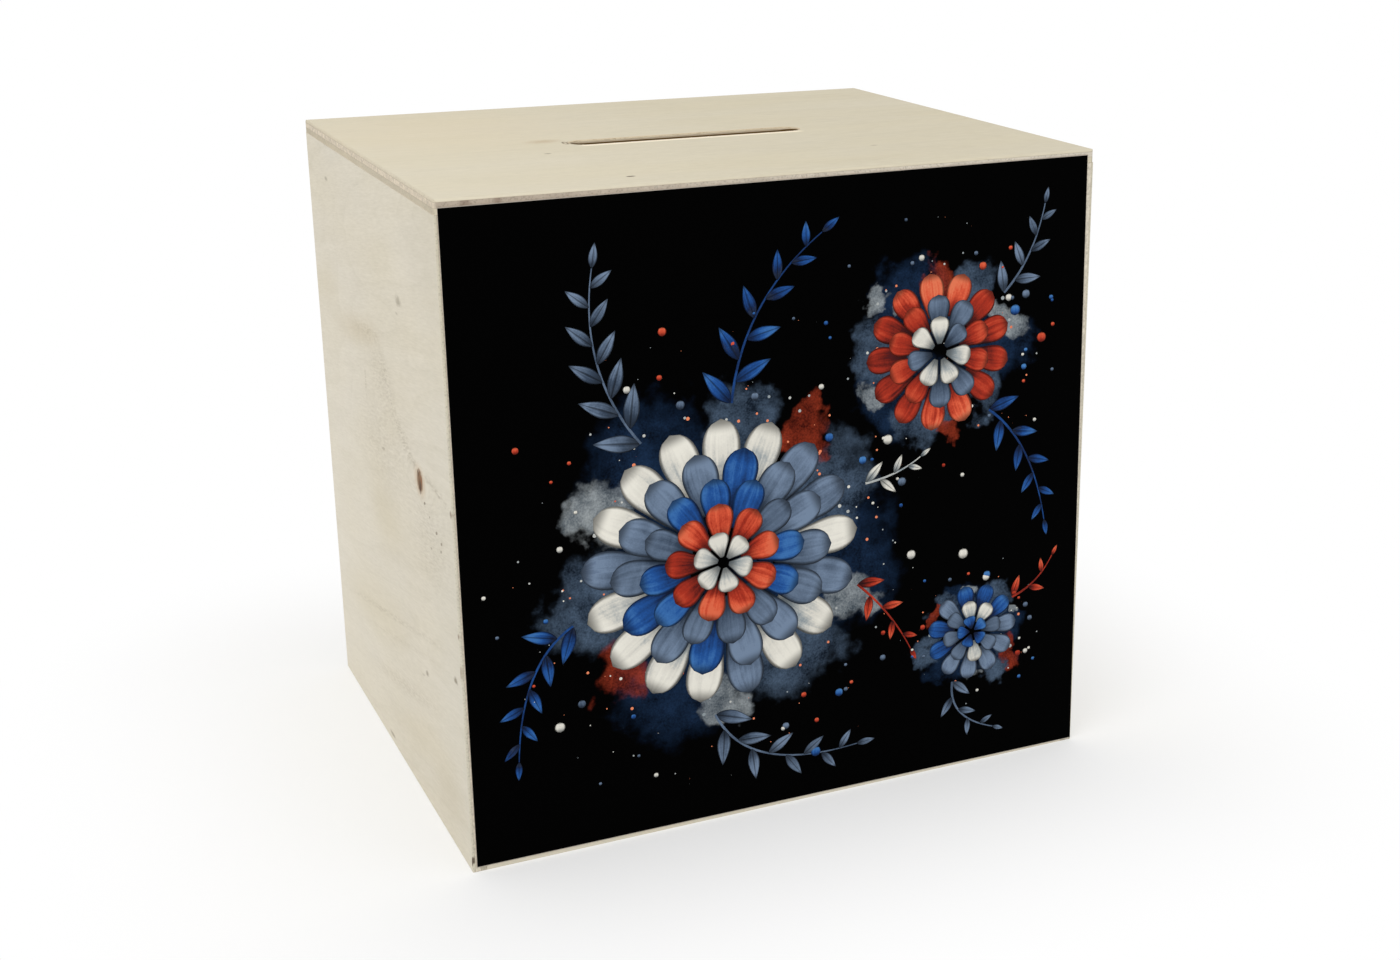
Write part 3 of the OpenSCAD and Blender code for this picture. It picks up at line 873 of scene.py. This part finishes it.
def inkLens(add, given, outline, faces):
    # closed lens of ink. outline turns a place on the shape, -1 to 1 across and 0 to 1 along, into X and Z
    grid = add("MeshGrid", 2.0, 1.0, faces[0] + 1, faces[1] + 1)
    spot = add("SeparateXYZ", add("InputPosition")).node.outputs
    across = spot["X"]
    along = add("Math ADD", spot["Y"], 0.5)
    shape = store(add, grid, "POINT", {"inkAcross": across, "inkAlong": along})
    flatX, flatZ = outline(across, along)

    # zero on the rim, one in the middle
    crown = add("Math MULTIPLY", across, across)
    crown = add("Math SUBTRACT", 1.0, crown)
    swell = add("Math MULTIPLY", along, math.pi)
    swell = add("Math SINE", swell)
    crown = add("Math MULTIPLY", crown, swell)
    crown = add("Math MAXIMUM", crown, 0.0)

    # front and back skins share their rim
    both = add("JoinGeometry").node
    for rise in ("Dome", "Sink"):
        height = add("Math MULTIPLY_ADD", crown, given[rise], given["Lift"])
        forward = add("Math MULTIPLY", height, -1.0)
        place = add("CombineXYZ", flatX, forward, flatZ)
        skin = add("SetPosition", {"Geometry": shape, "Position": place})
        if rise == "Sink":
            skin = add("FlipFaces", skin)
        feed(both, skin)
    return add("MergeByDistance", {"Geometry": both.outputs[0], "Distance": inkBuild["weld"] * mm})


def petalTree(ink):
    tree, add, given = newTree("ring of petals", {
        "Int": ("Petals", "Seed"),
        "Vector": ("Middle",),
        "Float": ("Inner Radius", "Outer Radius", "Gap", "Widest", "Lift", "Dome", "Sink", "Turn",
                  "Base Tone", "Tip Tone", "Other Base", "Other Tip", "Other Share")})

    def outline(across, along):
        # a petal fills its share of the circle less half a gap, then closes in an arch towards its tip
        late, blunt = petals["arch"]
        radius = add("MapRange", along, 0.0, 1.0, given["Inner Radius"], given["Outer Radius"])
        wedge = add("Math DIVIDE", math.pi, given["Petals"])
        wedge = add("Math TANGENT", wedge)
        halfGap = add("Math MULTIPLY", given["Gap"], -0.5)
        half = add("Math MULTIPLY_ADD", radius, wedge, halfGap)
        arch = add("MapRange", along, given["Widest"], 1.0)
        arch = add("Math POWER", arch, late)
        arch = add("Math SUBTRACT", 1.0, arch)
        arch = add("Math POWER", arch, blunt)
        half = add("Math MULTIPLY", half, arch)
        return add("Math MULTIPLY", across, half), radius

    petal = inkLens(add, given, outline, inkBuild["petalFaces"])
    points = add("Points", given["Petals"], given["Middle"])
    step = add("Math DIVIDE", 2 * math.pi, given["Petals"])
    angle = add("Math MULTIPLY_ADD", add("InputIndex"), step, given["Turn"])
    ring = add("InstanceOnPoints", {"Points": points, "Instance": petal, "Rotation": turnedBy(add, angle)})
    chance = add("RandomValue", {"Seed": given["Seed"]})
    other = add("Math LESS_THAN", chance, given["Other Share"])
    base = add("Mix", other, given["Base Tone"], given["Other Base"])
    tip = add("Mix", other, given["Tip Tone"], given["Other Tip"])
    ring = store(add, ring, "INSTANCE", {"inkChance": chance, "inkBase": base, "inkTip": tip})
    finishTree(add, ring, ink)
    return tree


# Sprigs: where the stem starts, bends and ends in mm, leaf count, leaf length in mm, tones at base and tip
sprigs = [
    ((-27.5, 72.5), (-38.0, 86.0), (-35.0, 103.0), 11, 8.5, (0.29, 0.41)),
    ((-11.0, 77.5), (-9.0, 95.0), (6.0, 105.5), 10, 8.0, (0.47, 0.57)),
    ((-40.5, 42.0), (-50.0, 37.0), (-51.0, 19.0), 9, 7.0, (0.47, 0.57)),
    ((-15.0, 20.5), (-9.0, 7.0), (13.0, 9.0), 10, 7.5, (0.29, 0.41)),
    ((13.0, 40.5), (20.0, 34.0), (24.0, 26.0), 6, 5.5, (0.7, 0.83)),
    ((14.5, 59.5), (21.0, 60.0), (25.5, 63.0), 5, 5.0, (0.0, 0.16)),
    ((42.0, 91.5), (48.0, 97.0), (50.0, 107.0), 7, 6.0, (0.29, 0.41)),
    ((39.5, 70.0), (49.0, 63.0), (52.0, 47.0), 9, 6.5, (0.47, 0.57)),
    ((33.0, 17.5), (32.0, 10.0), (42.0, 6.5), 6, 5.0, (0.29, 0.41)),
    ((45.5, 32.5), (51.0, 34.0), (54.0, 39.5), 4, 4.5, (0.7, 0.83)),
]

sprigLook = {
    "leafWidth": 0.36,  # share of its length
    "leafBelly": 0.8,  # below one, a leaf is widest before its middle
    "lastLeaf": 0.5,  # size of the last leaf beside the first
    "spread": 0.82,  # radians between a leaf and its stem
    "spreadLuck": (0.8, 1.2),  # least and most of that
    "stem": 0.5,  # mm wide
    "stemTaper": (0.5, 0.2),  # radius at its start and end, as a share of that width
    "stemDepth": 0.05,  # share of the stem's width that it is thick
    "stemTone": 0.6,  # how far from base to tip its tone is
    "stemSteps": 24,
    "stemSides": 8,
    "seed": 31,
}


def sprigTree(ink):
    tree, add, given = newTree("sprig", {
        "Int": ("Leaves", "Seed"),
        "Vector": ("Start", "Bend", "End"),
        "Float": ("Leaf Length", "Leaf Width", "Spread", "Stem Width", "Stem Depth", "Lift", "Dome", "Sink",
                  "Base Tone", "Tip Tone")})

    def outline(across, along):
        # a leaf swells from its stalk and runs out to a point
        half = add("Math POWER", along, sprigLook["leafBelly"])
        half = add("Math MULTIPLY", half, math.pi)
        half = add("Math SINE", half)
        half = add("Math MAXIMUM", half, 0.0)
        half = add("Math MULTIPLY", half, given["Leaf Width"])
        half = add("Math MULTIPLY", half, 0.5)
        flatZ = add("Math MULTIPLY", along, given["Leaf Length"])
        return add("Math MULTIPLY", across, half), flatZ

    leaf = inkLens(add, given, outline, inkBuild["leafFaces"])
    stem = add("CurveQuadraticBezier", sprigLook["stemSteps"], given["Start"], given["Bend"], given["End"])

    # leaves stand out to either side in turn, smaller towards the end, where the last one goes on ahead
    points = add("CurveToPoints", stem, given["Leaves"]).node.outputs
    way = add("SeparateXYZ", points["Tangent"]).node.outputs
    heading = add("Math ARCTAN2", way["X"], way["Z"])
    number = add("InputIndex")
    last = add("Math SUBTRACT", given["Leaves"], 1.0)
    before = add("Math LESS_THAN", number, last)
    side = add("Math MODULO", number, 2.0)
    side = add("Math MULTIPLY_ADD", side, 2.0, -1.0)
    side = add("Math MULTIPLY", side, before)
    chance = add("RandomValue", {"Seed": given["Seed"]})
    spread = add("MapRange", chance, 0.0, 1.0, *sprigLook["spreadLuck"])
    spread = add("Math MULTIPLY", spread, given["Spread"])
    angle = add("Math MULTIPLY_ADD", side, spread, heading)
    share = add("Math DIVIDE", number, last)
    scale = add("MapRange", share, 0.0, 1.0, 1.0, sprigLook["lastLeaf"])
    scale = add("CombineXYZ", scale, 1.0, scale)
    leaves = add("InstanceOnPoints", {"Points": points["Points"], "Instance": leaf,
                                      "Rotation": turnedBy(add, angle), "Scale": scale})
    tones = {"inkBase": given["Base Tone"], "inkTip": given["Tip Tone"]}
    leaves = store(add, leaves, "INSTANCE", {"inkChance": chance, "inkVein": 1.0, **tones})

    # the stem is a tube, pressed flat, that thins towards its end
    thin = add("MapRange", add("SplineParameter"), 0.0, 1.0, *sprigLook["stemTaper"])
    thin = add("Math MULTIPLY", thin, given["Stem Width"])
    ring = add("CurvePrimitiveCircle", sprigLook["stemSides"], 1.0)
    tube = add("CurveToMesh", stem, ring, thin, True)
    place = add("SeparateXYZ", add("InputPosition")).node.outputs
    film = add("SeparateXYZ", given["Start"]).node.outputs["Y"]
    depth = add("Math SUBTRACT", place["Y"], film)
    depth = add("Math MULTIPLY_ADD", depth, given["Stem Depth"], film)
    pressed = add("CombineXYZ", place["X"], depth, place["Z"])
    tube = add("SetPosition", {"Geometry": tube, "Position": pressed})
    tube = store(add, tube, "POINT", {"inkAlong": sprigLook["stemTone"], **tones})
    both = add("JoinGeometry").node
    for part in (leaves, tube):
        feed(both, part)
    finishTree(add, both.outputs[0], ink)
    return tree


# Drops: how many lie round each flower, their radius in mm, how far out they lie in flower radii
drops = {
    "count": {"large": 46, "medium": 30, "small": 20},
    "radius": (0.3, 1.05),
    "smallness": 2.5,  # the higher, the fewer drops are big
    "reach": (1.1, 1.75),
    "edge": 3.0,  # mm of film at the border that stays clear
    "tones": 4,  # used in turn
    "firstTone": 0.06,
    "toneStep": 0.225,
    "toneRun": 0.1,  # from base to tip
    "seed": 52,
}


def dropTree(ink):
    tree, add, given = newTree("drops", {
        "Int": ("Drops", "Seed"),
        "Vector": ("Middle", "Low Corner", "High Corner"),
        "Float": ("Near", "Far", "Small", "Big", "Lift", "Dome", "Sink")})

    def outline(across, along):
        # a disc of radius one
        flatZ = add("Math MULTIPLY_ADD", along, 2.0, -1.0)
        half = add("Math MULTIPLY", flatZ, flatZ)
        half = add("Math SUBTRACT", 1.0, half)
        half = add("Math MAXIMUM", half, 0.0)
        half = add("Math SQRT", half)
        return add("Math MULTIPLY", across, half), flatZ

    disc = inkLens(add, given, outline, inkBuild["dropFaces"])
    angle = luck(add, given, 0, 0.0, 2 * math.pi)
    reach = luck(add, given, 1, given["Near"], given["Far"])
    offset = {axis: add("Math MULTIPLY", add("Math " + turn, angle), reach)
              for axis, turn in (("X", "SINE"), ("Z", "COSINE"))}
    place = add("VectorMath ADD", given["Middle"], add("CombineXYZ", offset))
    points = add("Points", given["Drops"], place)

    # a drop that would lie past a corner is left out
    here = add("InputPosition")
    kept = add("VectorMath MAXIMUM", here, given["Low Corner"])
    kept = add("VectorMath MINIMUM", kept, given["High Corner"])
    moved = add("VectorMath DISTANCE", kept, here)
    inside = add("Compare LESS_THAN", moved, hair)
    size = luck(add, given, 2, 0.0, 1.0)
    size = add("Math POWER", size, drops["smallness"])
    size = add("MapRange", size, 0.0, 1.0, given["Small"], given["Big"])
    size = add("CombineXYZ", size, 1.0, size)
    spray = add("InstanceOnPoints", {"Points": points, "Selection": inside, "Instance": disc,
                                     "Scale": size})
    tone = add("Math MODULO", add("InputIndex"), drops["tones"])
    base = add("Math MULTIPLY_ADD", tone, drops["toneStep"], drops["firstTone"])
    tip = add("Math ADD", base, drops["toneRun"])
    chance = luck(add, given, 3, 0.0, 1.0)
    spray = store(add, spray, "INSTANCE", {"inkChance": chance, "inkBase": base, "inkTip": tip})
    finishTree(add, spray, ink)
    return tree


# Water-thin printing ink: streaks that follow the shape, blotches where the wet colour ran, and a dark rim

inkLook = {
    "apart": 40.0,  # how far the patterns of two shapes lie apart
    "streaks": (5.0, 0.8, 1.0),  # how many lie across a shape and along it
    "blot": 5.0,  # mm
    "blotSmear": 0.6,
    "grain": 0.35,  # mm
    "detail": {"streaks": 3.0, "blots": 4.0, "grains": 1.0},  # how finely each pattern breaks up
    "weights": {"streaks": 1.1, "blots": 1.7, "grains": 0.35, "chance": 0.4},  # how far it shifts the tone
    "rimRamp": (0.78, 0.97, 1.0, 0.3),  # brightness from inside the rim out to it
    "rootRamp": (0.05, 0.5, 0.35, 1.0),  # brightness from the root outwards
    "ribRamp": (0.06, 0.2, 0.6, 0.0),  # darkness of a leaf's mid-rib and beside it
    "roughness": 0.55,
    "specular": 0.08,
}


def paintedInk():
    made, add, shader = newMaterial("raised printing ink, watercolour tones")
    trait = {label: add("Attribute", attribute_name=label, out="Fac")
             for label in ("inkAcross", "inkAlong", "inkChance", "inkBase", "inkTip", "inkVein")}
    place = add("TexCoord", out="Object")
    apart = add("Math MULTIPLY", trait["inkChance"], inkLook["apart"])
    local = add("CombineXYZ", trait["inkAcross"], trait["inkAlong"], apart)
    local = add("VectorMath MULTIPLY", local, inkLook["streaks"])
    pattern = {
        "streaks": add("TexNoise", {"Vector": local, "Scale": 1.0}),
        "blots": add("TexNoise 4D", {"Vector": place, "W": apart, "Scale": 1 / (inkLook["blot"] * mm),
                                     "Distortion": inkLook["blotSmear"]}),
        "grains": add("TexNoise", {"Vector": place, "Scale": 1 / (inkLook["grain"] * mm)}),
        "chance": trait["inkChance"],
    }
    setDetail(pattern, inkLook["detail"])

    # from base tone to tip tone along the shape, shifted by the patterns
    run = addPatterns(add, trait["inkAlong"], pattern, inkLook["weights"])
    tone = add("MapRange", run, 0.0, 1.0, trait["inkBase"], trait["inkTip"])

    # darker along the rim and at the root, and along the mid-rib of a leaf
    off = add("Math ABSOLUTE", trait["inkAcross"])
    rim = add("Math MAXIMUM", off, trait["inkAlong"])
    rim = add("MapRange SMOOTHSTEP", rim, *inkLook["rimRamp"])
    root = add("MapRange SMOOTHSTEP", trait["inkAlong"], *inkLook["rootRamp"])
    rib = add("MapRange SMOOTHSTEP", off, *inkLook["ribRamp"])
    rib = add("Math MULTIPLY", rib, trait["inkVein"])
    rib = add("Math SUBTRACT", 1.0, rib)
    shade = add("Math MULTIPLY", rim, root)
    shade = add("Math MULTIPLY", shade, rib)
    colour = add("VectorMath SCALE", inkRamp(add, tone), shade)
    feed(shader, {"Base Color": colour, "Roughness": inkLook["roughness"],
                  "Specular IOR Level": inkLook["specular"]})
    return made


def onFront(x, z):
    return (x * mm, filmLow.y, z * mm)


def inkLayer(level=0):
    return {"Lift": (inkBuild["lift"] + level * inkBuild["step"]) * mm, "Dome": inkBuild["dome"] * mm,
            "Sink": -inkBuild["sink"] * mm}


def layOnFilm(name, shapes):
    piece = joinPieces(name, shapes)
    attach(piece, "box")
    print(name, "has", len(piece.data.polygons), "faces")


def printFlowers(tree):
    rings = []
    for number, flower in enumerate(flowers):
        size = flower["radius"] * mm
        for level, ring in enumerate(petalRings[flower["name"]]):
            inner, outer, count, (base, tip), (otherBase, otherTip), share = ring
            rings.append(grow(f"petals {flower['name']} {level}", tree, {
                **inkLayer(level), "Petals": count, "Middle": onFront(*flower["middle"]),
                "Inner Radius": inner * size, "Outer Radius": outer * size,
                "Gap": petals["gap"] * mm, "Widest": petals["widest"],
                "Turn": math.radians(flower["turn"]) + level * petals["turn"], "Base Tone": base,
                "Tip Tone": tip, "Other Base": otherBase, "Other Tip": otherTip, "Other Share": share,
                "Seed": petals["seed"] + inkBuild["seedStep"] * number + level}))
    layOnFilm("printed_flowers", rings)


def printSprigs(tree):
    shapes = []
    for number, (start, bend, end, count, length, tones) in enumerate(sprigs):
        shapes.append(grow(f"sprig {number}", tree, {
            **inkLayer(), "Start": onFront(*start), "Bend": onFront(*bend), "End": onFront(*end),
            "Leaves": count, "Leaf Length": length * mm, "Leaf Width": length * sprigLook["leafWidth"] * mm,
            "Spread": sprigLook["spread"], "Stem Width": sprigLook["stem"] * mm,
            "Stem Depth": sprigLook["stemDepth"], "Base Tone": tones[0], "Tip Tone": tones[1],
            "Seed": sprigLook["seed"] + number}))
    layOnFilm("printed_sprigs", shapes)


def printDrops(tree):
    shapes = []
    clear = flat(drops["edge"], drops["edge"]) * mm
    for number, flower in enumerate(flowers):
        size = flower["radius"] * mm
        near, far = drops["reach"]
        small, big = drops["radius"]
        shapes.append(grow(f"drops {flower['name']}", tree, {
            **inkLayer(), "Drops": drops["count"][flower["name"]], "Middle": onFront(*flower["middle"]),
            "Near": near * size, "Far": far * size, "Small": small * mm, "Big": big * mm,
            "Low Corner": filmLow + clear, "High Corner": filmHigh - clear,
            "Seed": drops["seed"] + inkBuild["seedStep"] * number}))
    layOnFilm("printed_drops", shapes)


ink = paintedInk()
printFlowers(petalTree(ink))
printSprigs(sprigTree(ink))
printDrops(dropTree(ink))


# Torn fibres round the mouth of the coin slot, where the router bit left the veneer fuzzy

fuzz = {
    "count": 300,
    "length": (0.25, 1.0),  # mm
    "shortness": 2.0,  # the higher, the fewer fibres are long
    "thickness": (0.05, 0.1),  # mm
    "inward": (0.0, 1.1),  # lean over the mouth, beside a lean of one along the lip
    "upward": (-0.25, 0.4),
    "torn": 1.9,  # how much longer the fibres are at the left end, where the bit went in
    "tornReach": 3.0,  # mm from that end
    "bevel": 0.3,  # mm, flare of the mouth
    "lipStep": 15,  # degrees between points on a round end
    "seed": 84,
    "pale": "#efe6d0",
    "dark": "#c2ab84",
    "roughness": 0.85,
    "specular": 0.15,
}


def fuzzTree(fibre):
    tree, add, given = newTree("torn fibres", {
        "Geometry": ("Path",),
        "Int": ("Count", "Seed"),
        "Float": ("Short", "Long", "Thin", "Thick", "Torn", "Torn From", "Torn To")})
    lip = add("MeshToCurve", given["Path"])
    points = add("CurveToPoints", lip, given["Count"]).node.outputs

    # a fibre leans along the lip, in over the mouth and a little up
    either = add("Math SIGN", luck(add, given, 0, -1.0, 1.0))
    lean = add("VectorMath SCALE", points["Tangent"], either)
    inward = add("VectorMath CROSS_PRODUCT", (0.0, 0.0, 1.0), points["Tangent"])
    inward = add("VectorMath SCALE", inward, luck(add, given, 1, *fuzz["inward"]))
    upward = add("CombineXYZ", {"Z": luck(add, given, 2, *fuzz["upward"])})
    for pull in (inward, upward):
        lean = add("VectorMath ADD", lean, pull)
    turned = add("AlignRotationToVector", {"Vector": lean}, axis="Z")

    spot = add("SeparateXYZ", add("InputPosition")).node.outputs
    torn = add("MapRange SMOOTHSTEP", spot["X"], given["Torn To"], given["Torn From"], given["Torn"], 1.0)
    length = luck(add, given, 3, 0.0, 1.0)
    length = add("Math POWER", length, fuzz["shortness"])
    length = add("MapRange", length, 0.0, 1.0, given["Short"], given["Long"])
    length = add("Math MULTIPLY", length, torn)
    width = luck(add, given, 4, given["Thin"], given["Thick"])
    size = add("CombineXYZ", width, width, length)
    spike = add("MeshCone", {"Vertices": 4, "Side Segments": 1, "Fill Segments": 1, "Depth": 1.0,
                             "Radius Top": 0.0, "Radius Bottom": 0.5}, fill_type="TRIANGLE_FAN")
    hairs = add("InstanceOnPoints", {"Points": points["Points"], "Instance": spike, "Rotation": turned,
                                     "Scale": size})
    hairs = store(add, hairs, "INSTANCE", {"fibreChance": luck(add, given, 5, 0.0, 1.0)})
    finishTree(add, hairs, fibre)
    return tree


def tornFibre():
    made, add, shader = newMaterial("torn poplar fibre")
    chance = add("Attribute", attribute_name="fibreChance", out="Fac")
    colour = add("Mix RGBA", chance, fuzz["pale"], fuzz["dark"])
    feed(shader, {"Base Color": colour, "Roughness": fuzz["roughness"],
                  "Specular IOR Level": fuzz["specular"]})
    return made


def fuzzSlot():
    # the lip runs anticlockwise, half-way up the flare of the mouth, with half a turn at each end
    half = fuzz["bevel"] / 2 * mm
    radius = slotHalf.y + half
    straight = slotHalf.x - slotHalf.y
    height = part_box("top_board")[1].z - half
    lip = []
    for end, start in ((1, -90), (-1, 90)):
        for turn in range(start, start + 180 + fuzz["lipStep"], fuzz["lipStep"]):
            angle = math.radians(turn)
            lip.append((slotMiddle.x + end * straight + radius * math.cos(angle),
                        slotMiddle.y + radius * math.sin(angle), height))
    left = slotMiddle.x - slotHalf.x
    hairs = grow("slot_fibres", fuzzTree(tornFibre()), {
        "Count": fuzz["count"], "Short": fuzz["length"][0] * mm, "Long": fuzz["length"][1] * mm,
        "Thin": fuzz["thickness"][0] * mm, "Thick": fuzz["thickness"][1] * mm, "Torn": fuzz["torn"],
        "Torn From": left + fuzz["tornReach"] * mm, "Torn To": left, "Seed": fuzz["seed"]}, lip)
    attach(hairs, "box")
    print("slot fibres:", len(hairs.data.polygons), "faces")


fuzzSlot()


# Stopper: low-density polyethylene, injection moulded in a spark-eroded tool.
# To the eye it is a soft satin black with a fine pebbled skin, scuffed grey on the rim that gets rubbed.

stopperLook = {
    "black": "#1b1b1e",
    "bloom": "#2b2b2f",  # waxy haze that the plastic sweats out
    "scuff": "#55555a",
    "pebble": 0.35,  # mm, grain of the tool's skin, drawn a little coarse so that it shows
    "pebbleDepth": 0.012,  # mm
    "haze": 6.0,  # mm
    "detail": {"haze": 3.0, "pebble": 2.0, "scratch": 2.0},  # how finely each pattern breaks up
    "hazeRamp": (0.35, 0.7, 0.0, 1.0),
    "scratch": (4.0, 0.18),  # mm long and wide
    "scratchTurn": 0.6,  # radians
    "scratchRamp": (0.62, 0.75, 0.0, 1.0),
    "rim": 0.9,  # mm of the flange's edge that is rubbed
    "scuffing": (0.25, 0.9),  # how far the scratches show, inside that rim and at its edge
    "roughness": (0.42, 0.6),  # where the skin is clear, and where it is hazy
    "ior": 1.51,
}


def mouldedStopper():
    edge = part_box("stopper")[1].x
    made, add, shader = newMaterial("moulded black polyethylene")
    place = add("TexCoord", out="Object")
    length, width = (size * mm for size in stopperLook["scratch"])
    drawn = add("Mapping", {"Vector": place, "Rotation": (0.0, 0.0, stopperLook["scratchTurn"]),
                            "Scale": (1 / length, 1 / width, 1.0)})
    pattern = {
        "haze": add("TexNoise", {"Vector": place, "Scale": 1 / (stopperLook["haze"] * mm)}),
        "pebble": add("TexNoise", {"Vector": place, "Scale": 1 / (stopperLook["pebble"] * mm)}),
        "scratch": add("TexNoise", {"Vector": drawn, "Scale": 1.0}),
    }
    setDetail(pattern, stopperLook["detail"])
    haze = add("MapRange", pattern["haze"], *stopperLook["hazeRamp"])
    scratch = add("MapRange", pattern["scratch"], *stopperLook["scratchRamp"])

    # rubbed where the flange's rim meets hands and tables
    radius = add("VectorMath MULTIPLY", place, (1.0, 1.0, 0.0))
    radius = add("VectorMath LENGTH", radius)
    inner = edge - stopperLook["rim"] * mm
    rubbed = add("MapRange SMOOTHSTEP", radius, inner, edge, *stopperLook["scuffing"])
    wear = add("Math MULTIPLY", scratch, rubbed)
    colour = add("Mix RGBA", haze, stopperLook["black"], stopperLook["bloom"])
    colour = add("Mix RGBA", wear, colour, stopperLook["scuff"])
    rough = add("MapRange", haze, 0.0, 1.0, *stopperLook["roughness"])
    skin = {"Height": pattern["pebble"], "Distance": stopperLook["pebbleDepth"] * mm, "Strength": 1.0}
    feed(shader, {"Base Color": colour, "Roughness": rough, "Normal": add("Bump", skin),
                  "IOR": stopperLook["ior"]})
    return made


dress("stopper", mouldedStopper())
print("stopper finished")

scene.view_settings.view_transform = "Standard"
